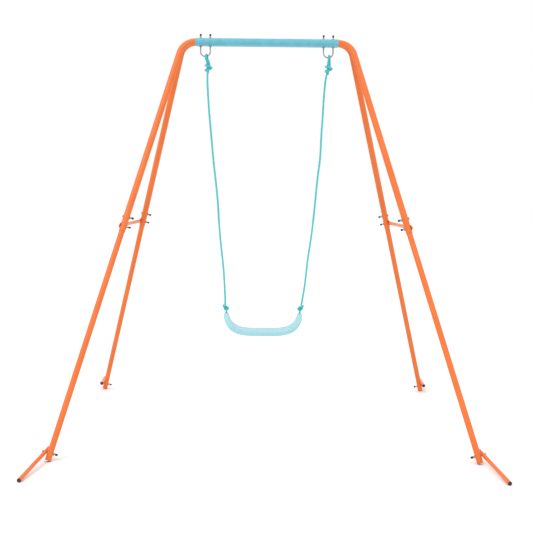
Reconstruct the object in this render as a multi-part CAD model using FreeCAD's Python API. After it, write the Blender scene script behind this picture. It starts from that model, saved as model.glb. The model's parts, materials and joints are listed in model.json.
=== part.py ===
# Single-seat garden swing: a steel tube A-frame with a double-tube top beam, two
# ropes with knots, a hollow moulded seat and four pivoting stabiliser feet.
# Millimetres. X runs along the beam, -Y is the front, +Z is up, and the origin is on
# the ground under the middle of the beam.
import FreeCAD, Part
import math
import os

# --- overall frame ---------------------------------------------------------------
BEAM_HEIGHT = 1763.0
BEAM_TUBE_OFFSET = 17.4  # each top tube's distance from the mid plane
CORNER_HALF_WIDTH = 383.0  # where a leg's line meets the beam's line
FOOT_HALF_WIDTH = 865.0
FOOT_HALF_DEPTH = 700.0
UPPER_TUBE_R = 14.0
LOWER_TUBE_R = 12.5
TUBE_WALL = 1.2
CORNER_BEND_R = 75.0
BEAM_JOINT_GAP = 0.4

# --- heights on the legs ---------------------------------------------------------
UPPER_BOLT_HEIGHT = 967.5
SPREADER_BOLT_HEIGHT = 928.5
UPPER_TUBE_END_HEIGHT = 906.5
LOWER_LEG_TOP_HEIGHT = 1000.0
FOOT_BOLT_HEIGHT = 31.5

# --- beam fittings ---------------------------------------------------------------
JOINER_R = 12.7
JOINER_WALL = 1.5
JOINER_LENGTH = 160.0
SADDLE_LENGTH = 70.0
SADDLE_THICKNESS = 1.0
SLEEVE_HALF_LENGTH = 327.0
SLEEVE_WALL = 1.2
SLEEVE_SIDE_PLAY = 0.3
EYE_HALF_SPACING = 282.0  # the U-bolts' distance from the middle
U_BOLT_HALF_WIDTH = 22.0
U_BOLT_ROD_R = 3.0
U_BOLT_LOW_POINT = 1698.0  # the rod's centreline at the bottom of the U
U_BOLT_TOP = 1797.5

# --- bolts, nuts and caps --------------------------------------------------------
BOLT_R = 3.0
BOLT_HOLE_R = 3.1
PIVOT_HOLE_R = 3.06
HEX_ACROSS_FLATS = 10.0
HEAD_HEIGHT = 4.0
NUT_HEIGHT = 5.0
THREAD_BEYOND_NUT = 11.0
THREAD_CAP_R = 4.5
THREAD_CAP_DEPTH = 7.0  # how much of the thread a cap covers
THREAD_CAP_TIP = 2.5  # cap material beyond the thread's end

# --- spreader bars ---------------------------------------------------------------
SPREADER_R = 8.0
SPREADER_WALL = 1.2
SPREADER_PLATE_THICKNESS = 3.0
SPREADER_PLATE_WIDTH = 24.0
SPREADER_PLATE_REACH = 22.0  # flat end, from the bolt towards the middle
SPREADER_KNEE = 40.0  # where the flattened end meets the tube's own line
SPREADER_TAPER_END = 58.0

# --- stabiliser feet -------------------------------------------------------------
STABILISER_R = 8.0
STABILISER_WALL = 1.2
STABILISER_FORWARD = 290.0
STABILISER_BEHIND = 44.0
STABILISER_PLUG_HEAD = 2.5
STABILISER_PLUG_LENGTH = 14.0
LEG_TO_STABILISER = 0.5
STABILISER_TO_HEAD = 0.4

# --- ropes and knots -------------------------------------------------------------
ROPE_R = 5.0
EYE_LOOP_HALF_WIDTH = 12.5
EYE_LOOP_FOOT_HALF_WIDTH = 7.0
EYE_LOOP_RISE = 8.6  # the loop's crown above the rod's centreline
EYE_LOOP_BEND = 12.2  # tangent length of the loop's two arcs
EYE_LOOP_TWIST = 24.0  # degrees between the loop's plane and the Y axis
EYE_LOOP_FOOT = 1652.0
UPPER_KNOT_R = 18.0
UPPER_KNOT_CENTRE = 1643.0
UPPER_KNOT_HALF_LENGTH = 22.0
LOWER_KNOT_R = 15.0
LOWER_KNOT_CENTRE = 534.5
STOPPER_KNOT_R = 8.7
SEAM_TOLERANCE = 0.01
ARC_SHARE = 0.45  # part of the shorter run that each rope arc takes up

# --- seat ------------------------------------------------------------------------
SEAT_BOTTOM = 412.5
SEAT_THICKNESS = 25.0
SEAT_DEPTH = 116.0
SEAT_MIDDLE = -7.0  # X of the seat's middle: the two ropes do not hang quite alike
SEAT_FLAT_HALF = 51.0
SEAT_BEND_R = (260.0, 95.0)  # outer radii of the shallow and the tight bend
SEAT_BEND_END = (13.5, 82.0)  # degrees from level at the end of each bend
SEAT_PIVOT_HEIGHT = 503.0
SEAT_TIP_R = 16.0
SEAT_TAPER_ANGLE = 38.0  # degrees from upright, seen from the side
SEAT_SLOT_HALF_WIDTH = 5.5
SEAT_EDGE_R = 8.0
SEAT_SKIN = 3.0
SEAT_WIDE_HOLLOW_TOP = 450.0
SEAT_NARROW_HOLLOW_TOP = 470.0
SEAT_TILT_LIMIT = 25.0

# Each rope's points, (X, Z) in the mid plane, from the knot under the U-bolt to the
# knot above the seat.
ROPE_ROUTES = {
    "left": [
        (-271.5, 1643.0), (-273.0, 1590.0), (-268.5, 1508.0), (-261.0, 1412.0),
        (-251.5, 1316.0), (-243.5, 1224.0), (-231.5, 1128.0), (-221.0, 1028.0),
        (-215.5, 930.0), (-207.0, 836.0), (-195.0, 742.0), (-189.0, 656.0),
        (-185.5, 596.0), (-179.0, 536.0),
    ],
    "right": [
        (281.0, 1643.0), (270.5, 1592.0), (264.0, 1512.0), (260.5, 1424.0),
        (254.5, 1330.0), (252.5, 1240.0), (240.0, 1148.0), (232.5, 1052.0),
        (223.5, 956.0), (214.0, 866.0), (200.0, 776.0), (193.0, 702.0),
        (186.0, 636.0), (177.5, 584.0), (165.5, 536.0),
    ],
}

SIDES = {"left": -1, "right": 1}
DEPTHS = {"front": -1, "rear": 1}
UP = FreeCAD.Vector(0, 0, 1)
ORIGIN = FreeCAD.Vector(0, 0, 0)


def point(x, y, z):
    return FreeCAD.Vector(x, y, z)


def cylinder(start, end, radius):
    """A rod between two points."""
    axis = end - start
    return Part.makeCylinder(radius, axis.Length, start, axis)


def tube(start, end, radius, wall):
    """A straight tube with open ends."""
    return cylinder(start, end, radius).cut(cylinder(start, end, radius - wall))


def sweep(wire, radius):
    """A round rod whose centreline is the wire."""
    first = wire.OrderedEdges[0]
    start = first.valueAt(first.FirstParameter)
    along = first.tangentAt(first.FirstParameter)
    if first.Orientation == "Reversed":
        start = first.valueAt(first.LastParameter)
        along = first.tangentAt(first.LastParameter).negative()
    section = Part.Wire(Part.makeCircle(radius, start, along))
    return wire.makePipeShell([section], True, False)


def corner_arc(before, corner, after, tangent_length):
    """The arc that rounds a corner, and the two points where it starts and ends."""
    back = (before - corner).normalize()
    ahead = (after - corner).normalize()
    half_turn = (math.pi - back.getAngle(ahead)) / 2
    radius = tangent_length / math.tan(half_turn)
    middle = (back + ahead).normalize() * radius * (1 / math.cos(half_turn) - 1)
    start = corner + back * tangent_length
    end = corner + ahead * tangent_length
    return Part.Arc(start, corner + middle, end).toShape(), start, end, radius


def rounded_wire(points, tangent_lengths):
    """Straight runs joined by tangent arcs, and the arcs' radii."""
    edges = []
    radii = []
    place = points[0]
    for index, tangent_length in enumerate(tangent_lengths, start=1):
        arc, start, end, radius = corner_arc(*points[index - 1:index + 2], tangent_length)
        edges += [Part.LineSegment(place, start).toShape(), arc]
        radii.append(radius)
        place = end
    edges.append(Part.LineSegment(place, points[-1]).toShape())
    return Part.Wire(edges), radii


def hexagon(height, across_flats=HEX_ACROSS_FLATS):
    """A hexagonal prism standing on the origin."""
    corner_r = across_flats / 2 / math.cos(math.pi / 6)
    corners = [
        point(corner_r * math.cos(k * math.pi / 3), corner_r * math.sin(k * math.pi / 3), 0)
        for k in range(6)
    ]
    face = Part.Face(Part.makePolygon(corners + corners[:1]))
    return face.extrude(UP * height)


def thread_cap():
    """A black plastic cap for a thread's end, its mouth at the origin."""
    outer = Part.makeCylinder(THREAD_CAP_R, THREAD_CAP_DEPTH + THREAD_CAP_TIP)
    rim = [edge for edge in outer.Edges if edge.BoundBox.ZMin > THREAD_CAP_DEPTH]
    outer = outer.makeFillet(THREAD_CAP_TIP * 0.8, rim)
    return outer.cut(Part.makeCylinder(BOLT_R, THREAD_CAP_DEPTH))


class Leg:
    """One leg's line: it starts at the beam's corner and ends on the ground."""

    def __init__(self, depth_name, side_name):
        self.name = f"{depth_name}_{side_name}"
        self.side = SIDES[side_name]
        self.depth = DEPTHS[depth_name]
        self.corner = point(
            self.side * CORNER_HALF_WIDTH, self.depth * BEAM_TUBE_OFFSET, BEAM_HEIGHT
        )
        foot = point(self.side * FOOT_HALF_WIDTH, self.depth * FOOT_HALF_DEPTH, 0)
        self.down = (foot - self.corner).normalize()
        sideways = point(self.side, 0, 0)
        self.out = (sideways - self.down * sideways.dot(self.down)).normalize()

    def at(self, height):
        """The centreline's point at a height above the ground."""
        return self.corner + self.down * ((height - BEAM_HEIGHT) / self.down.z)

    def bolt_place(self, height, distance_out, outward=True):
        """Where a fitting stands whose own +Z points away from the leg along the bolt."""
        axis = self.out if outward else self.out.negative()
        turn = FreeCAD.Rotation(self.down, ORIGIN, axis, "ZXY")
        return FreeCAD.Placement(self.at(height) + self.out * distance_out, turn)

    def drill(self, shape, height, radius=BOLT_HOLE_R):
        """The shape with a hole through both of the leg's walls."""
        reach = self.out * 3 * UPPER_TUBE_R
        middle = self.at(height)
        return shape.cut(cylinder(middle - reach, middle + reach, radius))


def placed(shape, placement):
    return shape.transformed(placement.toMatrix())


def bolt(leg, height, head_seat, nut_seat):
    """A hex bolt through the leg, its head outside and its nut inside."""
    thread_end = -(nut_seat + NUT_HEIGHT + THREAD_BEYOND_NUT)
    shank = Part.makeCylinder(BOLT_R, head_seat - thread_end, point(0, 0, thread_end))
    head = hexagon(HEAD_HEIGHT).translated(UP * head_seat)
    return placed(shank.fuse(head).removeSplitter(), leg.bolt_place(height, 0))


def nut(leg, height, nut_seat):
    ring = hexagon(NUT_HEIGHT).cut(Part.makeCylinder(BOLT_R, NUT_HEIGHT))
    return placed(ring, leg.bolt_place(height, -nut_seat, outward=False))


def bolt_cap(leg, height, nut_seat):
    mouth = nut_seat + NUT_HEIGHT + THREAD_BEYOND_NUT - THREAD_CAP_DEPTH
    return placed(thread_cap(), leg.bolt_place(height, -mouth, outward=False))


def make_upper_tube(leg):
    """Half of a top tube and the upper part of its leg, bent from one piece."""
    start = point(leg.side * BEAM_JOINT_GAP / 2, leg.corner.y, BEAM_HEIGHT)
    end = leg.at(UPPER_TUBE_END_HEIGHT)
    half_turn = leg.down.getAngle(point(leg.side, 0, 0)) / 2
    wire, _ = rounded_wire([start, leg.corner, end], [CORNER_BEND_R * math.tan(half_turn)])
    shape = sweep(wire, UPPER_TUBE_R).cut(sweep(wire, UPPER_TUBE_R - TUBE_WALL))
    for height in (UPPER_BOLT_HEIGHT, SPREADER_BOLT_HEIGHT):
        shape = leg.drill(shape, height)
    return shape


def make_lower_leg(leg):
    """The thinner tube that slides into the upper tube and stands on the ground."""
    level_tilt = math.sqrt(1 - leg.down.z ** 2)
    end = leg.at(LOWER_TUBE_R * level_tilt)
    shape = tube(leg.at(LOWER_LEG_TOP_HEIGHT), end, LOWER_TUBE_R, TUBE_WALL)
    for height in (UPPER_BOLT_HEIGHT, SPREADER_BOLT_HEIGHT, FOOT_BOLT_HEIGHT):
        shape = leg.drill(shape, height)
    return shape


def make_joiner(depth):
    """The hidden tube that holds a left and a right top tube end to end."""
    y = depth * BEAM_TUBE_OFFSET
    half = JOINER_LENGTH / 2
    return tube(point(-half, y, BEAM_HEIGHT), point(half, y, BEAM_HEIGHT), JOINER_R, JOINER_WALL)


def stadium_bar(radius, half_width, half_length):
    """A bar along X with a flat-sided oval section."""
    ends = [
        cylinder(point(-half_length, y, BEAM_HEIGHT), point(half_length, y, BEAM_HEIGHT), radius)
        for y in (-half_width, half_width)
    ]
    block = Part.makeBox(
        2 * half_length, 2 * half_width, 2 * radius,
        point(-half_length, -half_width, BEAM_HEIGHT - radius),
    )
    return block.fuse(ends).removeSplitter()


def u_bolt_leg_lines():
    """X of every upright U-bolt leg."""
    return [
        side * EYE_HALF_SPACING + end * U_BOLT_HALF_WIDTH
        for side in SIDES.values()
        for end in (-1, 1)
    ]


def drill_for_u_bolts(shape):
    for x in u_bolt_leg_lines():
        shape = shape.cut(
            cylinder(point(x, 0, BEAM_HEIGHT - 50), point(x, 0, BEAM_HEIGHT + 50), BOLT_HOLE_R)
        )
    return shape


def sleeve_inner_r():
    return UPPER_TUBE_R + SADDLE_THICKNESS


def make_sleeve():
    """The thin plastic sleeve around both top tubes and the saddle plates."""
    inner_r = sleeve_inner_r()
    half_width = BEAM_TUBE_OFFSET + SLEEVE_SIDE_PLAY - SADDLE_THICKNESS
    outer = stadium_bar(inner_r + SLEEVE_WALL, half_width, SLEEVE_HALF_LENGTH)
    inner = stadium_bar(inner_r, half_width, SLEEVE_HALF_LENGTH)
    return drill_for_u_bolts(outer.cut(inner))


def make_saddles():
    """Steel plates above and below the tubes that spread each U-bolt's load."""
    plates = []
    for side in SIDES.values():
        for bottom in (BEAM_HEIGHT + UPPER_TUBE_R, BEAM_HEIGHT - sleeve_inner_r()):
            corner = point(
                side * EYE_HALF_SPACING - SADDLE_LENGTH / 2, -BEAM_TUBE_OFFSET + 2, bottom
            )
            width = 2 * (BEAM_TUBE_OFFSET - 2)
            plate = Part.makeBox(SADDLE_LENGTH, width, SADDLE_THICKNESS, corner)
            plates.append(drill_for_u_bolts(plate))
    return Part.makeCompound(plates)


def make_u_bolt(side):
    """A round rod bent into a U that hangs below the beam."""
    centre_x = side * EYE_HALF_SPACING
    low = U_BOLT_LOW_POINT
    bend_height = low + U_BOLT_HALF_WIDTH
    left_x = centre_x - U_BOLT_HALF_WIDTH
    right_x = centre_x + U_BOLT_HALF_WIDTH
    arc = Part.Arc(
        point(left_x, 0, bend_height), point(centre_x, 0, low), point(right_x, 0, bend_height)
    )
    wire = Part.Wire([
        Part.LineSegment(point(left_x, 0, U_BOLT_TOP), point(left_x, 0, bend_height)).toShape(),
        arc.toShape(),
        Part.LineSegment(point(right_x, 0, bend_height), point(right_x, 0, U_BOLT_TOP)).toShape(),
    ])
    return sweep(wire, U_BOLT_ROD_R)


def sleeve_outer_r():
    return sleeve_inner_r() + SLEEVE_WALL


def make_u_bolt_nuts():
    """A nut below and a nut above the beam on each leg of both U-bolts."""
    ring = hexagon(NUT_HEIGHT).cut(Part.makeCylinder(U_BOLT_ROD_R, NUT_HEIGHT))
    seats = (BEAM_HEIGHT + sleeve_outer_r(), BEAM_HEIGHT - sleeve_outer_r() - NUT_HEIGHT)
    return Part.makeCompound(
        [ring.translated(point(x, 0, z)) for x in u_bolt_leg_lines() for z in seats]
    )


def make_u_bolt_caps():
    mouth = U_BOLT_TOP - THREAD_CAP_DEPTH
    return Part.makeCompound(
        [thread_cap().translated(point(x, 0, mouth)) for x in u_bolt_leg_lines()]
    )


def slot_section(centre, along, across, width, thickness):
    """A flat-sided oval wire, its long side across, square to along."""
    normal = along.cross(across).normalize()
    half_flat = (width - thickness) / 2
    r = thickness / 2
    corners = [
        centre + across * (a * half_flat) + normal * (n * r)
        for a, n in ((-1, -1), (1, -1), (1, 1), (-1, 1))
    ]
    right_tip = centre + across * (half_flat + r)
    left_tip = centre - across * (half_flat + r)
    return Part.Wire([
        Part.LineSegment(corners[0], corners[1]).toShape(),
        Part.Arc(corners[1], right_tip, corners[2]).toShape(),
        Part.LineSegment(corners[2], corners[3]).toShape(),
        Part.Arc(corners[3], left_tip, corners[0]).toShape(),
    ])


def round_section(centre, along, across, radius):
    """A circle of four arcs that start where slot_section's edges start."""
    normal = along.cross(across).normalize()

    def on_circle(degrees):
        a = math.radians(degrees)
        return centre + (across * math.cos(a) + normal * math.sin(a)) * radius

    stops = (-135, -45, 45, 135, 225)
    arcs = [
        Part.Arc(on_circle(a), on_circle((a + b) / 2), on_circle(b)).toShape()
        for a, b in zip(stops[:-1], stops[1:])
    ]
    return Part.Wire(arcs)


def spreader_end(leg):
    """A flattened tube end on one leg, its hole, and where the round tube starts."""
    middle_way = point(0, -leg.depth, 0)
    seat = UPPER_TUBE_R + SPREADER_PLATE_THICKNESS / 2
    bolt_point = leg.at(SPREADER_BOLT_HEIGHT) + leg.out * seat
    along = (middle_way - leg.out * middle_way.dot(leg.out)).normalize()
    across = leg.out.cross(along).normalize()
    plate_end = bolt_point + along * SPREADER_PLATE_REACH
    tube_start = (
        bolt_point + along * SPREADER_KNEE + middle_way * (SPREADER_TAPER_END - SPREADER_KNEE)
    )
    flat = slot_section(plate_end, along, across, SPREADER_PLATE_WIDTH, SPREADER_PLATE_THICKNESS)
    level_across = (across - middle_way * across.dot(middle_way)).normalize()
    ring = round_section(tube_start, middle_way, level_across, SPREADER_R)
    taper = Part.makeLoft([flat, ring], True, True)
    plate = Part.Face(flat).extrude(along * -SPREADER_PLATE_REACH)
    half_thickness = leg.out * (SPREADER_PLATE_THICKNESS / 2)
    tongue = cylinder(
        bolt_point - half_thickness, bolt_point + half_thickness, SPREADER_PLATE_WIDTH / 2
    )
    end = taper.fuse([plate, tongue])
    return leg.drill(end, SPREADER_BOLT_HEIGHT), tube_start


def make_spreader(front_leg, rear_leg):
    """A bar between a front and a rear leg, flattened where it is bolted on."""
    front_end, front_start = spreader_end(front_leg)
    rear_end, rear_start = spreader_end(rear_leg)
    middle = tube(front_start, rear_start, SPREADER_R, SPREADER_WALL)
    return middle.fuse([front_end, rear_end]).removeSplitter()


def stabiliser_line(leg):
    """The pivot point and the direction from it to the tip on the ground."""
    pivot = leg.at(FOOT_BOLT_HEIGHT) + leg.out * (LOWER_TUBE_R + LEG_TO_STABILISER + STABILISER_R)
    level = leg.out.cross(UP).normalize()
    if level.y * leg.depth < 0:
        level = level.negative()
    lower = leg.out.cross(level).normalize()
    if lower.z > 0:
        lower = lower.negative()
    slope = math.asin((pivot.z - STABILISER_R) / (-lower.z * STABILISER_FORWARD))
    return pivot, level * math.cos(slope) + lower * math.sin(slope)


def stabiliser_ends(leg):
    """Each tube end and the way out of it."""
    pivot, ahead = stabiliser_line(leg)
    tip = pivot + ahead * (STABILISER_FORWARD - STABILISER_PLUG_HEAD)
    tail = pivot - ahead * (STABILISER_BEHIND - STABILISER_PLUG_HEAD)
    return (tip, ahead), (tail, ahead.negative())


def make_stabiliser(leg):
    (tip, _), (tail, _) = stabiliser_ends(leg)
    bar = tube(tail, tip, STABILISER_R, STABILISER_WALL)
    return leg.drill(bar, FOOT_BOLT_HEIGHT, PIVOT_HOLE_R)


def make_stabiliser_plugs(leg):
    """The plastic plugs pushed into both ends of a stabiliser, each with a rounded head."""
    plugs = []
    for end, outward in stabiliser_ends(leg):
        face = end + outward * STABILISER_PLUG_HEAD
        head = cylinder(end, face, STABILISER_R)
        rim = [edge for edge in head.Edges if edge.CenterOfMass.isEqual(face, 1e-3)]
        head = head.makeFillet(STABILISER_PLUG_HEAD * 0.8, rim)
        inner_end = face - outward * STABILISER_PLUG_LENGTH
        plugs.append(head.fuse(cylinder(inner_end, end, STABILISER_R - STABILISER_WALL)))
    return Part.makeCompound(plugs)


def make_rope(name):
    """The rope between its knots, with its arcs' radii printed."""
    points = [point(x, 0, z) for x, z in ROPE_ROUTES[name]]
    runs = [(b - a).Length for a, b in zip(points[:-1], points[1:])]
    tangent_lengths = [ARC_SHARE * min(pair) for pair in zip(runs[:-1], runs[1:])]
    wire, radii = rounded_wire(points, tangent_lengths)
    rope = sweep(wire, ROPE_R)
    expected = math.pi * ROPE_R ** 2 * wire.Length
    print(f"rope_{name}: length {wire.Length:.1f}, volume over section times length "
          f"{rope.Volume / expected:.5f}")
    print("  arc radii", [round(radius) for radius in radii])
    return rope


def knot_x(name):
    """X of the upper knot, where the rope's route starts."""
    return ROPE_ROUTES[name][0][0]


def make_eye_loop(name):
    """The rope's loop over the bottom of a U-bolt, open end down in the upper knot."""
    side = SIDES[name]
    twist = math.radians(EYE_LOOP_TWIST)
    across = point(-math.sin(twist), -math.cos(twist), 0)
    foot = point(knot_x(name), 0, EYE_LOOP_FOOT)
    crown = point(side * EYE_HALF_SPACING, 0, U_BOLT_LOW_POINT + EYE_LOOP_RISE)
    corners = [
        foot + across * EYE_LOOP_FOOT_HALF_WIDTH,
        crown + across * EYE_LOOP_HALF_WIDTH,
        crown - across * EYE_LOOP_HALF_WIDTH,
        foot - across * EYE_LOOP_FOOT_HALF_WIDTH,
    ]
    wire, _ = rounded_wire(corners, [EYE_LOOP_BEND, EYE_LOOP_BEND])
    return sweep(wire, ROPE_R)


def make_upper_knot(name, rope, eye_loop):
    """The bulky knot that closes the loop over the U-bolt."""
    x = knot_x(name)
    middle = UPPER_KNOT_HALF_LENGTH - UPPER_KNOT_R
    low = point(x, 0, UPPER_KNOT_CENTRE - middle)
    high = point(x, 0, UPPER_KNOT_CENTRE + middle)
    ball = Part.makeSphere(UPPER_KNOT_R)
    knot = cylinder(low, high, UPPER_KNOT_R).fuse([ball.translated(low), ball.translated(high)])
    return knot.removeSplitter().cut([rope, eye_loop])


def seat_bend_ends():
    """(X, Z) where each outer bend of the seat ends, from the seat's middle."""
    x, z = SEAT_FLAT_HALF, SEAT_BOTTOM
    start = 0.0
    ends = []
    for radius, end in zip(SEAT_BEND_R, SEAT_BEND_END):
        x += radius * (math.sin(math.radians(end)) - math.sin(math.radians(start)))
        z += radius * (math.cos(math.radians(start)) - math.cos(math.radians(end)))
        start = end
        ends.append((x, z))
    return ends


def seat_tip_half_spacing():
    """Each tip centre's X from the seat's middle, in the middle of the arm's thickness."""
    x, z = seat_bend_ends()[-1]
    lean = math.radians(90 - SEAT_BEND_END[-1])
    return x + (SEAT_PIVOT_HEIGHT - z) * math.tan(lean) - SEAT_THICKNESS / 2 / math.cos(lean)


def seat_tip(side):
    """The centre of a tip's round end, which is where its rope is held."""
    return point(SEAT_MIDDLE + side * seat_tip_half_spacing(), 0, SEAT_PIVOT_HEIGHT)


def lower_knot_centre(side):
    return point(seat_tip(side).x, 0, LOWER_KNOT_CENTRE)


def make_seat_anchor(side):
    """The rope's end below the lower knot, with the stopper knot held in the seat's tip."""
    tip = seat_tip(side)
    neck = cylinder(tip, lower_knot_centre(side), ROPE_R)
    return neck.fuse(Part.makeSphere(STOPPER_KNOT_R, tip)).removeSplitter()


def make_lower_knot(side, rope, anchor):
    return Part.makeSphere(LOWER_KNOT_R, lower_knot_centre(side)).cut([rope, anchor])


def make_rope_to_seat(name, anchor):
    """The main rope, cut where the rope below the lower knot carries on."""
    return make_rope(name).cut(anchor)


def seat_curve(inset):
    """The right half of the seat's U, seen from the front, inset from its outer surface."""
    heading = 0.0
    x, z = SEAT_FLAT_HALF, SEAT_BOTTOM + inset
    edges = [Part.LineSegment(point(0, 0, z), point(x, 0, z)).toShape()]
    for outer_radius, end in zip(SEAT_BEND_R, SEAT_BEND_END):
        radius = outer_radius - inset
        centre = (x - radius * math.sin(math.radians(heading)),
                  z + radius * math.cos(math.radians(heading)))
        stops = [math.radians(a) for a in (heading, (heading + end) / 2, end)]
        arc = [
            point(centre[0] + radius * math.sin(a), 0, centre[1] - radius * math.cos(a))
            for a in stops
        ]
        edges.append(Part.Arc(*arc).toShape())
        x, z, heading = arc[-1].x, arc[-1].z, end
    lean = math.radians(90 - heading)
    outward = point(math.cos(lean), 0, -math.sin(lean))
    tip = point(seat_tip_half_spacing(), 0, SEAT_PIVOT_HEIGHT)
    arm_end = tip + outward * (SEAT_THICKNESS / 2 - inset)
    edges.append(Part.LineSegment(point(x, 0, z), arm_end).toShape())
    return edges, arm_end


def seat_band(skin, depth):
    """The U with round ends, a skin's thickness inside the seat, drawn out to a depth."""
    outer, outer_end = seat_curve(skin)
    inner, inner_end = seat_curve(SEAT_THICKNESS - skin)
    lean = math.radians(90 - SEAT_BEND_END[-1])
    tip = point(seat_tip_half_spacing(), 0, SEAT_PIVOT_HEIGHT)
    top = tip + point(math.sin(lean), 0, math.cos(lean)) * (SEAT_THICKNESS / 2 - skin)
    right = outer + inner + [Part.Arc(outer_end, top, inner_end).toShape()]
    left = [edge.mirror(ORIGIN, point(1, 0, 0)) for edge in right]
    outline = Part.Wire(Part.__sortEdges__(right + left))
    face = Part.Face(outline).translated(point(0, -depth / 2, 0))
    return face.extrude(point(0, depth, 0)).removeSplitter()


def seat_side_outline():
    """The seat's outline from the side: upright below, tapering to round tips."""
    taper = math.radians(SEAT_TAPER_ANGLE)
    half = SEAT_DEPTH / 2
    touch_y = SEAT_TIP_R * math.cos(taper)
    touch_z = SEAT_PIVOT_HEIGHT + SEAT_TIP_R * math.sin(taper)
    shoulder_z = touch_z - (half - touch_y) / math.tan(taper)
    low_z = SEAT_BOTTOM - 1

    def line(y0, z0, y1, z1):
        return Part.LineSegment(point(0, y0, z0), point(0, y1, z1)).toShape()

    tip = Part.Arc(
        point(0, touch_y, touch_z),
        point(0, 0, SEAT_PIVOT_HEIGHT + SEAT_TIP_R),
        point(0, -touch_y, touch_z),
    )
    return Part.Wire([
        line(-half, low_z, half, low_z),
        line(half, low_z, half, shoulder_z),
        line(half, shoulder_z, touch_y, touch_z),
        tip.toShape(),
        line(-touch_y, touch_z, -half, shoulder_z),
        line(-half, shoulder_z, -half, low_z),
    ])


def rope_slot(tip):
    """The fan-shaped slot in the top of a tip where the rope swings."""
    width = 2 * SEAT_SLOT_HALF_WIDTH
    corner = tip - point(SEAT_SLOT_HALF_WIDTH, SEAT_SLOT_HALF_WIDTH, 0)
    box = Part.makeBox(width, width, 3 * SEAT_TIP_R, corner)
    turned = [
        box.rotated(tip, point(1, 0, 0), angle)
        for angle in (-SEAT_TILT_LIMIT, SEAT_TILT_LIMIT)
    ]
    return box.fuse(turned)


def seat_cavity():
    """The hollow inside the seat: wide below, with a narrow neck up to each tip's socket."""
    socket_r = SEAT_THICKNESS / 2 - SEAT_SKIN
    levels = (
        (SEAT_WIDE_HOLLOW_TOP, SEAT_DEPTH - 2 * SEAT_SKIN),
        (SEAT_NARROW_HOLLOW_TOP, SEAT_DEPTH / 2),
        (SEAT_PIVOT_HEIGHT, 2 * socket_r),
    )
    parts = []
    for top, depth in levels:
        below = Part.makeBox(
            2 * FOOT_HALF_WIDTH, SEAT_DEPTH, top - SEAT_BOTTOM,
            point(-FOOT_HALF_WIDTH, -SEAT_DEPTH / 2, SEAT_BOTTOM),
        )
        parts.append(seat_band(SEAT_SKIN, depth).common(below))
    for side in SIDES.values():
        centre = point(side * seat_tip_half_spacing(), 0, SEAT_PIVOT_HEIGHT)
        parts.append(Part.makeSphere(socket_r, centre))
    return parts[0].fuse(parts[1:])


def runs_along_y(edge):
    box = edge.BoundBox
    return box.XLength < SEAM_TOLERANCE and box.ZLength < SEAM_TOLERANCE


def make_seat():
    """The hollow moulded seat with a socket and a slot for the rope in each tip."""
    side_block = Part.Face(seat_side_outline()).extrude(point(2 * FOOT_HALF_WIDTH, 0, 0))
    side_block = side_block.translated(point(-FOOT_HALF_WIDTH, 0, 0))
    seat = seat_band(0, SEAT_DEPTH).common(side_block).removeSplitter()
    rims = [edge for edge in seat.Edges if not runs_along_y(edge)]
    seat = seat.makeFillet(SEAT_EDGE_R, rims)
    seat = seat.cut(seat_cavity()).translated(point(SEAT_MIDDLE, 0, 0))
    return seat.cut([rope_slot(seat_tip(side)) for side in SIDES.values()])


def leg_fittings(legs):
    """Bolts, nuts and caps of all legs, each kind as one group."""
    plate = SPREADER_PLATE_THICKNESS
    foot_seat = LOWER_TUBE_R + LEG_TO_STABILISER + 2 * STABILISER_R + STABILISER_TO_HEAD
    kinds = (
        ("joint", UPPER_BOLT_HEIGHT, UPPER_TUBE_R, UPPER_TUBE_R),
        ("spreader", SPREADER_BOLT_HEIGHT, UPPER_TUBE_R + plate, UPPER_TUBE_R),
        ("foot", FOOT_BOLT_HEIGHT, foot_seat, LOWER_TUBE_R),
    )
    nodes = {}
    for kind, height, head_seat, nut_seat in kinds:
        bolts = [bolt(leg, height, head_seat, nut_seat) for leg in legs]
        nuts = [nut(leg, height, nut_seat) for leg in legs]
        caps = [bolt_cap(leg, height, nut_seat) for leg in legs]
        nodes[f"{kind}_bolts"] = Part.makeCompound(bolts)
        nodes[f"{kind}_bolt_nuts"] = Part.makeCompound(nuts)
        nodes[f"{kind}_bolt_caps"] = Part.makeCompound(caps)
    return nodes


def frame_nodes():
    legs = {(d, s): Leg(d, s) for d in DEPTHS for s in SIDES}
    nodes = {}
    for leg in legs.values():
        nodes[f"upper_tube_{leg.name}"] = make_upper_tube(leg)
        nodes[f"lower_leg_{leg.name}"] = make_lower_leg(leg)
        nodes[f"stabiliser_{leg.name}"] = make_stabiliser(leg)
        nodes[f"stabiliser_{leg.name}_plugs"] = make_stabiliser_plugs(leg)
    for depth_name, depth in DEPTHS.items():
        nodes[f"beam_joiner_{depth_name}"] = make_joiner(depth)
    for side_name in SIDES:
        spreader = make_spreader(legs["front", side_name], legs["rear", side_name])
        nodes[f"spreader_bar_{side_name}"] = spreader
    nodes.update(leg_fittings(list(legs.values())))
    return nodes


def beam_nodes():
    nodes = {
        "beam_sleeve": make_sleeve(),
        "saddle_plates": make_saddles(),
        "u_bolt_nuts": make_u_bolt_nuts(),
        "u_bolt_caps": make_u_bolt_caps(),
    }
    for side_name, side in SIDES.items():
        nodes[f"u_bolt_{side_name}"] = make_u_bolt(side)
    return nodes


def swing_nodes():
    nodes = {"seat": make_seat()}
    for side_name, side in SIDES.items():
        eye_loop = make_eye_loop(side_name)
        anchor = make_seat_anchor(side)
        rope = make_rope_to_seat(side_name, anchor)
        nodes[f"rope_{side_name}"] = rope
        nodes[f"eye_loop_{side_name}"] = eye_loop
        nodes[f"seat_anchor_{side_name}"] = anchor
        nodes[f"upper_knot_{side_name}"] = make_upper_knot(side_name, rope, eye_loop)
        nodes[f"lower_knot_{side_name}"] = make_lower_knot(side, rope, anchor)
    return nodes


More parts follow.
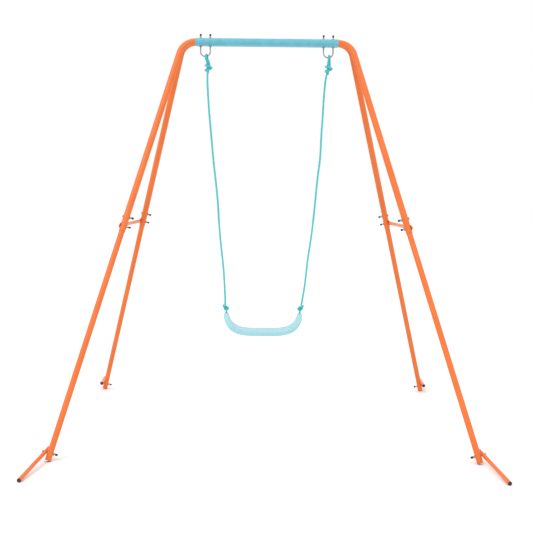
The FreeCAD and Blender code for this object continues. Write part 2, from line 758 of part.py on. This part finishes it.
def main():
    os.makedirs("parts", exist_ok=True)
    nodes = {**frame_nodes(), **beam_nodes(), **swing_nodes()}
    for name, shape in nodes.items():
        shape.exportStep(f"parts/{name}.step")
        state = "valid" if shape.isValid() else "INVALID"
        print(f"{name}: {len(shape.Solids)} solid(s), {shape.Volume / 1000:.2f} cm3, {state}")
    size = Part.makeCompound(list(nodes.values())).BoundBox
    print(f"size {size.XLength:.1f} x {size.YLength:.1f} x {size.ZLength:.1f}, low {size.ZMin:.3f}")


main()
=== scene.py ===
import json
import math

import bmesh
import bpy
from mathutils import Matrix, Vector


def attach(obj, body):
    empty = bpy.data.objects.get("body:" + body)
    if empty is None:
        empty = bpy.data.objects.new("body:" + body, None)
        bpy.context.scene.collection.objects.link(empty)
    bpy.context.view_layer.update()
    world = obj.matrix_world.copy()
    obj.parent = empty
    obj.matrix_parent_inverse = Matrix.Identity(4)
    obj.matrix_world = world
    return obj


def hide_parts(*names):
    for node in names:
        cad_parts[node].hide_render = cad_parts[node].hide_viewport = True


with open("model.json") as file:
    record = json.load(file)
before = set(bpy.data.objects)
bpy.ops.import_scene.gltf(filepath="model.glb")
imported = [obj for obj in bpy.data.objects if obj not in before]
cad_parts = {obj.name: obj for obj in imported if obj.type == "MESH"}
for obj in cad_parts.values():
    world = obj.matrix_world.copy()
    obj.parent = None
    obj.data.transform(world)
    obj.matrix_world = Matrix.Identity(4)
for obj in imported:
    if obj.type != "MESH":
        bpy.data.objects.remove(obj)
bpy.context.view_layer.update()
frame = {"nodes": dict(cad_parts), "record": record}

# Metres, in the frame of the part: X along the beam, -Y to the front, +Z up.

# --- camera ------------------------------------------------------------------------
CAMERA_PLACE = Vector((-0.0337, -4.3658, 1.0736))
CAMERA_YAW = math.radians(-0.537)
CAMERA_PITCH = math.radians(-4.459)
CAMERA_ROLL = math.radians(0.524)
CAMERA_LENS = 63.24
SENSOR_WIDTH = 36.0

# --- lights ------------------------------------------------------------------------
SURROUND_STRENGTH = 1.0
KEY_STRENGTH = 1.0
FILL_STRENGTH = 0.2
KEY_DIRECTION = (0.45, 0.55, -1.0)
FILL_DIRECTION = (-0.7, 0.6, -0.5)
KEY_SPREAD = 35  # degrees
FILL_SPREAD = 60
FLOOR_HALF = 30.0

# --- ropes -------------------------------------------------------------------------
ROPE_LAY = 0.030  # length of one full turn of the three strands
MM = 0.001
LINE_ORDER = 3
LINE_RESOLUTION = 24
SHORTEST_STEP = 1e-9  # keeps a division from meeting zero
# Each rope's points, (X, Z) in the mid plane, from the upper knot to the lower one.
ROPE_ROUTES = {
    "left": [
        (-0.2715, 1.6430), (-0.2730, 1.5900), (-0.2685, 1.5080), (-0.2610, 1.4120),
        (-0.2515, 1.3160), (-0.2435, 1.2240), (-0.2315, 1.1280), (-0.2210, 1.0280),
        (-0.2155, 0.9300), (-0.2070, 0.8360), (-0.1950, 0.7420), (-0.1890, 0.6560),
        (-0.1855, 0.5960), (-0.1790, 0.5360),
    ],
    "right": [
        (0.2810, 1.6430), (0.2705, 1.5920), (0.2640, 1.5120), (0.2605, 1.4240), (0.2545, 1.3300),
        (0.2525, 1.2400), (0.2400, 1.1480), (0.2325, 1.0520), (0.2235, 0.9560), (0.2140, 0.8660),
        (0.2000, 0.7760), (0.1930, 0.7020), (0.1860, 0.6360), (0.1775, 0.5840), (0.1655, 0.5360),
    ],
}
# Where each rope leaves its upper knot, (X, Y, Z), in place of its route's first point.
# These and all the knot points below come from a separate script, not from this one: it
# pulled a hand-drawn knot tight until the rope touched itself.
KNOT_EXITS = {
    "left": [
        (-0.2717, 0, 1.6352), (-0.2722, 0, 1.6176),
    ],
    "right": [
        (0.2792, 0, 1.6340), (0.2748, 0, 1.6118),
    ],
}
# Where each rope enters its lower knot, (X, Y, Z), in place of its route's last point.
KNOT_ENTRIES = {
    "left": [
        (-0.1845, 0.0015, 0.5659), (-0.1848, 0.0015, 0.5571), (-0.1856, 0.0009, 0.5485),
    ],
    "right": [
        (0.1740, 0.0008, 0.5652), (0.1730, 0.0009, 0.5572), (0.1724, 0.0007, 0.5492),
    ],
}
# Tied rope, (X, Y, Z) in millimetres, from the knot over the U-bolt to the cut end.
UPPER_KNOTS = {
    "left": [
        (-271.7, 0.1, 1634.2), (-271.5, 0.1, 1639.6), (-271.5, 0, 1645.1),
        (-271.7, -0.3, 1650.6), (-272.1, -0.9, 1656), (-272.7, -1.8, 1661.4),
        (-273.6, -3.1, 1666.6), (-274.7, -4.6, 1671.8), (-276.1, -6, 1676.9),
        (-277.9, -7.3, 1682), (-279.6, -8.4, 1687), (-280.8, -9.3, 1692.3),
        (-280.6, -9.3, 1697.8), (-279.6, -7.9, 1702.9), (-278, -4, 1706.2), (-276.4, 1.1, 1706.9),
        (-275.1, 7, 1705.1), (-274.5, 10.2, 1700.9), (-273.9, 10.4, 1695.5), (-273, 9.2, 1690.2),
        (-271.6, 7.5, 1685.2), (-269.7, 4.5, 1680.5), (-267.6, 2.3, 1675.9),
        (-265.6, 0.3, 1671.2), (-263.9, -1.3, 1666.3), (-263, -2.4, 1661), (-262.7, -3.2, 1655.5),
        (-262.8, -3.9, 1650.1), (-263.6, -5.4, 1644.9), (-265.5, -7.3, 1640.1),
        (-269, -8.9, 1636.3), (-273.8, -9, 1633.9), (-278.5, -6.4, 1633.4),
        (-281.3, -1.9, 1634.5), (-282, 3.1, 1636.3), (-280.6, 8.1, 1638.2),
        (-278.1, 12.7, 1639.8), (-274.7, 16.7, 1641.1), (-269.7, 18.6, 1642.1),
        (-264.5, 17.4, 1643), (-260.7, 13.7, 1643.9), (-258.1, 8.9, 1644.8), (-255.9, 4, 1645.7),
        (-254.1, -1, 1646.9), (-253.8, -6.3, 1648.2), (-256.4, -10.8, 1649.8),
        (-261.1, -12.9, 1651.3), (-266.4, -12.7, 1652.5), (-271.5, -11.5, 1654),
        (-276.4, -9.4, 1655.6), (-280.2, -5.9, 1657), (-281.6, -0.8, 1658.1), (-279.8, 4.3, 1658),
        (-276.1, 7.7, 1656.1), (-272.5, 9.1, 1652.3), (-270.2, 9.4, 1647.4), (-269.2, 9.4, 1642),
        (-269.6, 9.5, 1636.5), (-270.7, 9.6, 1631.2), (-271.7, 9.7, 1625.8),
    ],
    "right": [
        (279, 0.1, 1633), (280.1, 0.1, 1638.4), (280.9, 0, 1643.8), (280.9, -0.2, 1649.3),
        (280.3, -0.7, 1654.8), (280.1, -1.6, 1660.2), (280.6, -2.8, 1665.5),
        (281.5, -4.3, 1670.7), (282.2, -5.7, 1675.9), (282.8, -7.1, 1681.2),
        (283.3, -8.3, 1686.6), (283.5, -9.2, 1692), (283.5, -9.3, 1697.4), (284.3, -8, 1702.7),
        (285.9, -4.2, 1706.1), (287.5, 0.9, 1707), (288.9, 6.8, 1705.3), (289.4, 10.1, 1701.1),
        (289.6, 10.5, 1695.7), (289.8, 9.2, 1690.4), (290, 7.4, 1685.2), (290.1, 4.4, 1680.1),
        (290.2, 2.2, 1675.1), (290.3, 0.1, 1670), (290.4, -1.4, 1664.7), (290.3, -2.5, 1659.3),
        (290.1, -3.3, 1653.9), (289.7, -4.2, 1648.5), (288.4, -5.7, 1643.4), (286, -7.5, 1638.8),
        (282.1, -9, 1635.3), (277, -9.1, 1633.6), (272.3, -6.4, 1633.7), (270, -1.7, 1634.9),
        (270.3, 3.5, 1636.5), (272.1, 8.4, 1638.3), (274.8, 12.9, 1639.8), (278.4, 16.8, 1641),
        (283.5, 18.5, 1641.9), (288.6, 17.1, 1642.9), (292.2, 13.1, 1643.8), (294.8, 8.4, 1644.8),
        (297, 3.4, 1645.8), (298.7, -1.6, 1647), (298.7, -6.9, 1648.4), (295.7, -11.1, 1650),
        (290.9, -13, 1651.4), (285.5, -12.6, 1652.7), (280.4, -11.3, 1654.2),
        (275.6, -9.2, 1655.8), (271.9, -5.6, 1657.3), (270.7, -0.4, 1658.4), (272.7, 4.6, 1658.2),
        (276.5, 7.8, 1656.1), (280.1, 9.1, 1652.3), (282.5, 9.3, 1647.4), (283.5, 9.2, 1642),
        (283.1, 9.1, 1636.5), (282, 9.3, 1631.1), (281, 9.4, 1625.7),
    ],
}
# Tied rope, (X, Y, Z) in millimetres, from the top of the knot to its end in the seat.
LOWER_KNOTS = {
    "left": [
        (-185.4, 1.1, 550), (-186.7, 0.2, 544.8), (-188.9, 0.2, 539.7), (-189.4, 2.2, 534.7),
        (-187.1, 4.7, 530.5), (-182.4, 6.3, 528.3), (-177, 6.1, 528.6), (-172.7, 3.8, 530.9),
        (-170.9, 0.5, 534.8), (-172.3, -2.7, 539), (-175.9, -5.1, 542.4), (-180, -7.1, 545.4),
        (-184.6, -8.4, 548), (-189.7, -7.3, 549.5), (-193.6, -3.5, 549.7), (-195, 1.6, 548.5),
        (-193.5, 6.2, 546.2), (-189.7, 8.8, 543.3), (-185, 8.4, 540.5), (-181.5, 5.2, 538),
        (-180.3, 0.7, 535.1), (-179.9, -2.3, 530.6), (-179.4, -2.5, 525.2), (-179, -1.4, 519.8),
        (-178.6, 0, 514.5), (-178.6, 0.2, 509), (-178.6, 0.1, 503.5), (-178.6, 0, 498),
    ],
    "right": [
        (172.4, 0.8, 550.8), (173, 0.1, 545.4), (174.9, -0.1, 540.2), (175.6, 1.8, 535.2),
        (173.4, 4.4, 530.9), (168.8, 6.2, 528.6), (163.3, 6.1, 528.7), (158.9, 3.9, 531),
        (157, 0.6, 534.8), (158.3, -2.7, 539), (162, -5.2, 542.4), (166.2, -7.2, 545.2),
        (171, -8.7, 547.5), (176.2, -7.8, 548.9), (180.2, -4.1, 549), (181.7, 1, 547.9),
        (180.1, 5.8, 545.8), (176.2, 8.6, 543.3), (171.4, 8.3, 540.7), (167.7, 5.1, 538.3),
        (166.4, 0.7, 535.3), (166, -2.3, 530.8), (165.5, -2.5, 525.3), (165, -1.4, 519.9),
        (164.7, 0, 514.6), (164.6, 0.2, 509.1), (164.6, 0.1, 503.5), (164.6, 0, 498),
    ],
}

# --- U-bolt threads ----------------------------------------------------------------
EYE_HALF_SPACING = 0.282
EYE_HALF_WIDTH = 0.022
EYE_THREADS = ((1.7300, 1.7414), (1.7845, 1.7905))  # (low, high) of the visible lengths
THREAD_PITCH = 0.001
THREAD_RIDGE_HALF = 0.00042
THREAD_ROOT_R = 0.0029
THREAD_CREST_R = 0.0033
THREAD_SIDES = 20

# --- rope strands ------------------------------------------------------------------
STRANDS = 3
STRAND_OFFSET = 0.0025  # strand centre from the rope's centreline
STRAND_RADIUS = 0.0025
STRAND_SIDES = 10
STRAND_STEP = 0.0016
YARN_LAY = 0.030  # length of one full turn of a strand's own fibres
TEXTURE_SCALE = 1000  # the fibre texture runs in millimetres along a strand
# (distance past the rope's end, radius) of a melted end and of the stopper in the seat.
# A distance below zero is still on the rope.
TIP_PROFILE = (
    (-0.0050, 0.0045), (-0.0045, 0.0053), (0.0005, 0.0054), (0.0018, 0.0048),
    (0.0026, 0.0033), (0.0030, 0.0015),
)
STOPPER_PROFILE = (
    (-0.0117, 0.0051), (-0.0090, 0.0074), (-0.0070, 0.0082), (-0.0050, 0.0084),
    (-0.0030, 0.0082), (-0.0010, 0.0074), (0.0015, 0.0053), (0.0030, 0.0026),
)
TIP_SIDES = 20
LUMP_HEIGHT = 0.05  # share of the radius
LUMPS_ROUND = 3
LUMP_TWIST = 900  # radians per metre along the rope


def add_camera():
    """The camera at the fitted place, turned by yaw, then pitch, then roll."""
    ahead = Vector((
        -math.sin(CAMERA_YAW) * math.cos(CAMERA_PITCH),
        math.cos(CAMERA_YAW) * math.cos(CAMERA_PITCH),
        math.sin(CAMERA_PITCH),
    ))
    level = Vector((math.cos(CAMERA_YAW), math.sin(CAMERA_YAW), 0))
    right = Matrix.Rotation(-CAMERA_ROLL, 3, ahead) @ level
    up = right.cross(ahead)
    data = bpy.data.cameras.new("camera")
    data.lens = CAMERA_LENS
    data.sensor_width = SENSOR_WIDTH
    camera = bpy.data.objects.new("camera", data)
    turn = Matrix((right, up, -ahead)).transposed()
    camera.matrix_world = Matrix.Translation(CAMERA_PLACE) @ turn.to_4x4()
    bpy.context.scene.collection.objects.link(camera)
    bpy.context.scene.camera = camera


# --- materials ---------------------------------------------------------------------
class Material:
    """A node material with short calls for the nodes that every surface here uses."""

    def __init__(self, name, colour, roughness, metallic=0.0):
        self.material = bpy.data.materials.new(name)
        self.material.use_nodes = True
        self.nodes = self.material.node_tree.nodes
        self.links = self.material.node_tree.links
        self.shader = self.nodes["Principled BSDF"]
        self.shader.inputs["Base Color"].default_value = (*colour, 1)
        self.shader.inputs["Roughness"].default_value = roughness
        self.shader.inputs["Metallic"].default_value = metallic
        self.place = self.nodes.new("ShaderNodeTexCoord").outputs["Object"]
        self.height = None

    def set(self, socket, value):
        self.shader.inputs[socket].default_value = value
        return self

    def along_attribute(self, name):
        """Textures follow a stored coordinate instead of the object's own."""
        node = self.nodes.new("ShaderNodeAttribute")
        node.attribute_name = name
        self.place = node.outputs["Vector"]
        return self

    def scaled_place(self, scale):
        node = self.nodes.new("ShaderNodeMapping")
        node.inputs["Scale"].default_value = scale
        self.links.new(self.place, node.inputs["Vector"])
        return node.outputs["Vector"]

    def noise(self, scale, detail=2.0, stretch=(1, 1, 1)):
        node = self.nodes.new("ShaderNodeTexNoise")
        node.inputs["Scale"].default_value = scale
        node.inputs["Detail"].default_value = detail
        self.links.new(self.scaled_place(stretch), node.inputs["Vector"])
        return node.outputs["Fac"]

    def colours(self, factor, stops):
        """The base colour runs through stops, (position, colour), by a texture."""
        ramp = self.nodes.new("ShaderNodeValToRGB")
        elements = ramp.color_ramp.elements
        while len(elements) < len(stops):
            elements.new(0.5)
        for element, (position, colour) in zip(elements, stops):
            element.position = position
            element.color = (*colour, 1)
        self.links.new(factor, ramp.inputs["Fac"])
        self.links.new(ramp.outputs["Color"], self.shader.inputs["Base Color"])
        return self

    def roughness(self, factor, low, high):
        node = self.nodes.new("ShaderNodeMapRange")
        node.inputs["To Min"].default_value = low
        node.inputs["To Max"].default_value = high
        self.links.new(factor, node.inputs["Value"])
        self.links.new(node.outputs["Result"], self.shader.inputs["Roughness"])
        return self

    def bump(self, factor, distance, strength=1.0):
        node = self.nodes.new("ShaderNodeBump")
        node.inputs["Distance"].default_value = distance
        node.inputs["Strength"].default_value = strength
        self.links.new(factor, node.inputs["Height"])
        if self.height is not None:
            self.links.new(self.height, node.inputs["Normal"])
        self.height = node.outputs["Normal"]
        self.links.new(self.height, self.shader.inputs["Normal"])
        return self


def powder_coat():
    """Satin orange powder coat with fine orange peel."""
    m = Material("orange_powder_coat", (0.75, 0.154, 0.022), 0.33)
    m.colours(m.noise(9, 4), [(0.3, (0.722, 0.144, 0.019)), (0.7, (0.779, 0.164, 0.025))])
    m.roughness(m.noise(60, 3), 0.28, 0.42)
    m.bump(m.noise(700, 2), 0.00006, 0.5)
    m.set("Specular IOR Level", 0.4)
    return m.material


def bare_steel():
    m = Material("bare_steel", (0.5, 0.5, 0.51), 0.4, 1.0)
    m.colours(m.noise(40, 4), [(0.3, (0.42, 0.42, 0.43)), (0.7, (0.56, 0.56, 0.57))])
    m.roughness(m.noise(120, 3), 0.3, 0.5)
    return m.material


def zinc():
    """Bright zinc plate, faintly cloudy, with a fine bump."""
    m = Material("zinc", (0.35, 0.35, 0.37), 0.3, 1.0)
    m.colours(m.noise(90, 5), [(0.3, (0.25, 0.26, 0.28)), (0.7, (0.44, 0.44, 0.46))])
    m.roughness(m.noise(250, 3), 0.22, 0.42)
    m.bump(m.noise(1200, 2), 0.00004, 0.4)
    return m.material


def sleeve_plastic():
    """Light blue extruded plastic with a fine matt grain."""
    m = Material("sleeve_plastic", (0.18, 0.56, 0.68), 0.5)
    m.colours(m.noise(30, 5), [(0.3, (0.10, 0.39, 0.49)), (0.7, (0.13, 0.45, 0.55))])
    m.roughness(m.noise(200, 2), 0.42, 0.6)
    m.bump(m.noise(900, 3), 0.00012, 0.6)
    m.bump(m.noise(60, 2, (0.1, 1, 1)), 0.0003, 0.3)
    return m.material


def black_plastic():
    m = Material("black_plastic", (0.012, 0.012, 0.013), 0.42)
    m.colours(m.noise(150, 3), [(0.3, (0.009, 0.009, 0.01)), (0.7, (0.02, 0.02, 0.021))])
    m.roughness(m.noise(300, 2), 0.35, 0.55)
    m.bump(m.noise(1500, 2), 0.00005, 0.5)
    return m.material


def rope_fibre():
    """Turquoise fibre: fine filaments that run along each strand."""
    m = Material("rope_turquoise", (0.08, 0.55, 0.6), 0.55)
    m.along_attribute("strand_place")
    threads = m.noise(1.0, 3, (5, 5, 0.12))
    m.colours(threads, [
        (0.3, (0.02, 0.38, 0.42)), (0.5, (0.06, 0.53, 0.57)), (0.7, (0.14, 0.68, 0.71)),
    ])
    m.roughness(m.noise(1.0, 2, (3, 3, 0.3)), 0.45, 0.7)
    m.bump(threads, 0.0004, 0.8)
    m.set("Sheen Weight", 0.25)
    m.set("Sheen Roughness", 0.4)
    return m.material


def sealed_fibre():
    """Rope ends melted to a dark, glossy lump."""
    m = Material("sealed_fibre", (0.02, 0.24, 0.27), 0.35)
    m.colours(m.noise(400, 3), [(0.3, (0.01, 0.16, 0.19)), (0.7, (0.04, 0.30, 0.33))])
    m.bump(m.noise(500, 3), 0.0003, 0.7)
    return m.material


def seat_plastic():
    """Pale blue blow-moulded plastic with a soft gloss and a fine spark-eroded grain."""
    m = Material("seat_plastic", (0.42, 0.75, 0.83), 0.4)
    m.colours(m.noise(14, 4), [(0.3, (0.29, 0.56, 0.63)), (0.7, (0.33, 0.61, 0.67))])
    m.roughness(m.noise(80, 3), 0.34, 0.48)
    m.bump(m.noise(1100, 2), 0.00006, 0.5)
    m.set("Subsurface Weight", 0.15)
    m.set("Subsurface Radius", (0.004, 0.006, 0.008))
    return m.material


def paint_cad_nodes(materials):
    """Each CAD node takes its slot's material."""
    for part in frame["record"]["subparts"]:
        data = frame["nodes"][part["node"]].data
        data.materials.clear()
        data.materials.append(materials[part["material_slot"]])


# --- rope work ---------------------------------------------------------------------
def spline_line(name, points):
    """Points along the smooth NURBS line that has these control points."""
    curve = bpy.data.curves.new(name, "CURVE")
    curve.dimensions = "3D"
    curve.resolution_u = LINE_RESOLUTION
    spline = curve.splines.new("NURBS")
    spline.points.add(len(points) - 1)
    for target, place in zip(spline.points, points):
        target.co = (*place, 1)
    spline.order_u = LINE_ORDER
    spline.use_endpoint_u = True
    holder = bpy.data.objects.new(name, curve)
    bpy.context.scene.collection.objects.link(holder)
    mesh = bpy.data.meshes.new_from_object(holder)
    line = [vertex.co.copy() for vertex in mesh.vertices]
    bpy.data.objects.remove(holder)
    bpy.data.curves.remove(curve)
    bpy.data.meshes.remove(mesh)
    return line


def even_steps(line, step):
    """The same line in equal steps, as (point, distance from its start)."""
    distances = [0.0]
    for a, b in zip(line[:-1], line[1:]):
        distances.append(distances[-1] + (b - a).length)
    count = max(2, round(distances[-1] / step))
    places = []
    i = 0
    for n in range(count + 1):
        wanted = distances[-1] * n / count
        while i < len(line) - 2 and distances[i + 1] < wanted:
            i += 1
        share = (wanted - distances[i]) / max(SHORTEST_STEP, distances[i + 1] - distances[i])
        places.append((line[i].lerp(line[i + 1], share), wanted))
    return places


def carried_frames(points):
    """(along, side) at each point, with the side vector carried along without twist."""
    frames = []
    side = None
    for i in range(len(points)):
        ahead = points[min(i + 1, len(points) - 1)] - points[max(i - 1, 0)]
        ahead.normalize()
        if side is None:
            side = ahead.orthogonal().normalized()
        side = (side - ahead * side.dot(ahead)).normalized()
        frames.append((ahead, side))
    return frames


def join_rings(mesh, rings):
    """Faces between each ring of vertices and the next."""
    for before, after in zip(rings[:-1], rings[1:]):
        for k in range(len(before)):
            n = (k + 1) % len(before)
            mesh.faces.new((before[k], before[n], after[n], after[k]))


def add_strand(mesh, place_layer, centres, outward, distances, radius):
    """One strand's skin round its own centreline, closed at both ends."""
    rings = []
    last = len(centres) - 1
    for i, centre in enumerate(centres):
        along = (centres[min(i + 1, last)] - centres[max(i - 1, 0)]).normalized()
        out = (outward[i] - along * outward[i].dot(along)).normalized()
        across = along.cross(out)
        turn = distances[i] / YARN_LAY * math.tau
        ring = []
        for k in range(STRAND_SIDES):
            angle = math.tau * k / STRAND_SIDES
            direction = out * math.cos(angle) + across * math.sin(angle)
            vertex = mesh.verts.new(centre + direction * radius)
            vertex[place_layer] = (
                math.cos(angle + turn), math.sin(angle + turn), distances[i] * TEXTURE_SCALE
            )
            ring.append(vertex)
        rings.append(ring)
    join_rings(mesh, rings)
    for ring, centre, flip in ((rings[0], centres[0], True), (rings[-1], centres[-1], False)):
        tip = mesh.verts.new(centre)
        tip[place_layer] = ring[0][place_layer]
        for k in range(STRAND_SIDES):
            n = (k + 1) % STRAND_SIDES
            face = (ring[n], ring[k], tip) if flip else (ring[k], ring[n], tip)
            mesh.faces.new(face)


def laid_rope(name, lines, material, phase=0.0):
    """Rope pieces as one mesh: three strands laid round each line."""
    mesh = bmesh.new()
    place_layer = mesh.verts.layers.float_vector.new("strand_place")
    for line in lines:
        steps = even_steps(line, STRAND_STEP)
        points = [point for point, _ in steps]
        distances = [distance for _, distance in steps]
        frames = carried_frames(points)
        for strand in range(STRANDS):
            outward = []
            for (ahead, side), distance in zip(frames, distances):
                angle = phase + math.tau * (strand / STRANDS + distance / ROPE_LAY)
                outward.append(Matrix.Rotation(angle, 3, ahead) @ side)
            centres = [p + out * STRAND_OFFSET for p, out in zip(points, outward)]
            add_strand(mesh, place_layer, centres, outward, distances, STRAND_RADIUS)
    return mesh_object(name, mesh, material)


def mesh_object(name, mesh, material):
    """A smooth-shaded object from a bmesh, with one material."""
    bmesh.ops.recalc_face_normals(mesh, faces=mesh.faces)
    for face in mesh.faces:
        face.smooth = True
    data = bpy.data.meshes.new(name)
    mesh.to_mesh(data)
    mesh.free()
    data.materials.append(material)
    piece = bpy.data.objects.new(name, data)
    bpy.context.scene.collection.objects.link(piece)
    return piece


def sealed_tip(mesh, line, profile):
    """The melted end of a rope: rings that follow a profile, closed at both ends."""
    ahead, side = carried_frames(line[-3:])[-1]
    across = ahead.cross(side)
    rings = []
    for distance, radius in profile:
        centre = line[-1] + ahead * distance
        ring = []
        for k in range(TIP_SIDES):
            angle = math.tau * k / TIP_SIDES
            lump = 1 + LUMP_HEIGHT * math.sin(LUMPS_ROUND * angle + distance * LUMP_TWIST)
            direction = side * math.cos(angle) + across * math.sin(angle)
            ring.append(mesh.verts.new(centre + direction * radius * lump))
        rings.append(ring)
    join_rings(mesh, rings)
    mesh.faces.new(rings[0][::-1])
    mesh.faces.new(rings[-1])


def on_ropes(piece, *nodes):
    """The piece swings with the ropes and stands for these CAD nodes."""
    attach(piece, "ropes")
    if nodes:
        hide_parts(*nodes)
    return piece


def add_ropes(materials):
    fibre = materials["rope_turquoise"]
    for side, route in ROPE_ROUTES.items():
        middle = [(x, 0, z) for x, z in route[1:-1]]
        points = KNOT_EXITS[side] + middle + KNOT_ENTRIES[side]
        line = spline_line(f"route_{side}", points)
        upper_line, lower_line = (
            spline_line("tied", [Vector(p) * MM for p in knots[side]])
            for knots in (UPPER_KNOTS, LOWER_KNOTS)
        )
        rope = on_ropes(laid_rope(f"main_rope_{side}", [line], fibre), f"rope_{side}")
        upper = on_ropes(
            laid_rope(f"tied_upper_{side}", [upper_line], fibre),
            f"upper_knot_{side}", f"eye_loop_{side}",
        )
        lower = on_ropes(
            laid_rope(f"tied_lower_{side}", [lower_line], fibre),
            f"lower_knot_{side}", f"seat_anchor_{side}",
        )
        tips = bmesh.new()
        sealed_tip(tips, upper_line, TIP_PROFILE)
        sealed_tip(tips, lower_line, STOPPER_PROFILE)
        ends = on_ropes(mesh_object(f"sealed_ends_{side}", tips, materials["sealed_fibre"]))


# --- threads -----------------------------------------------------------------------
def thread_ridge(mesh, start, end):
    """One helical ridge round a bolt's axis, from start to end."""
    axis = end - start
    ahead = axis.normalized()
    side = ahead.orthogonal().normalized()
    across = ahead.cross(side)
    count = round(axis.length / THREAD_PITCH * THREAD_SIDES)
    rings = []
    for i in range(count + 1):
        angle = math.tau * i / THREAD_SIDES
        out = side * math.cos(angle) + across * math.sin(angle)
        centre = start + axis * i / count
        half = ahead * THREAD_RIDGE_HALF
        rings.append([
            mesh.verts.new(centre + out * radius + shift)
            for radius, shift in (
                (THREAD_ROOT_R, -half), (THREAD_CREST_R, Vector()), (THREAD_ROOT_R, half)
            )
        ])
    join_rings(mesh, rings)
    mesh.faces.new(rings[0][::-1])
    mesh.faces.new(rings[-1])


def add_threads(materials):
    """The thread that shows above and below the nuts on the U-bolts."""
    for side, x_side in (("left", -1), ("right", 1)):
        mesh = bmesh.new()
        for shift in (-EYE_HALF_WIDTH, EYE_HALF_WIDTH):
            x = x_side * EYE_HALF_SPACING + shift
            for low, high in EYE_THREADS:
                thread_ridge(mesh, Vector((x, 0, low)), Vector((x, 0, high)))
        piece = mesh_object(f"u_bolt_threads_{side}", mesh, materials["zinc"])
        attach(piece, "frame")


# --- surroundings ------------------------------------------------------------------
def add_floor():
    """A plain white floor that runs past the edges of the view."""
    mesh = bmesh.new()
    corners = [
        mesh.verts.new((x * FLOOR_HALF, y * FLOOR_HALF, 0))
        for x, y in ((-1, -1), (1, -1), (1, 1), (-1, 1))
    ]
    mesh.faces.new(corners)
    material = Material("floor_white", (0.9, 0.9, 0.9), 0.9)
    material.set("Specular IOR Level", 0.1)
    mesh_object("floor", mesh, material.material)


def add_sun(name, direction, spread, strength):
    """A soft distant light that shines along a direction."""
    data = bpy.data.lights.new(name, "SUN")
    data.angle = math.radians(spread)
    data.energy = strength
    light = bpy.data.objects.new(name, data)
    light.rotation_euler = Vector(direction).to_track_quat("-Z", "Y").to_euler()
    bpy.context.scene.collection.objects.link(light)


def add_lights():
    """A white studio: an even surround, a soft key from above left and a weak fill."""
    world = bpy.data.worlds.new("studio")
    world.use_nodes = True
    surround = world.node_tree.nodes["Background"]
    surround.inputs["Color"].default_value = (1, 1, 1, 1)
    surround.inputs["Strength"].default_value = SURROUND_STRENGTH
    bpy.context.scene.world = world
    add_sun("key", KEY_DIRECTION, KEY_SPREAD, KEY_STRENGTH)
    add_sun("fill", FILL_DIRECTION, FILL_SPREAD, FILL_STRENGTH)
    bpy.context.scene.view_settings.view_transform = "Standard"


add_camera()
MATERIALS = {
    "orange_powder_coat": powder_coat(),
    "bare_steel": bare_steel(),
    "zinc": zinc(),
    "sleeve_plastic": sleeve_plastic(),
    "black_plastic": black_plastic(),
    "rope_turquoise": rope_fibre(),
    "sealed_fibre": sealed_fibre(),
    "seat_plastic": seat_plastic(),
}
paint_cad_nodes(MATERIALS)
add_ropes(MATERIALS)
add_threads(MATERIALS)
add_floor()
add_lights()
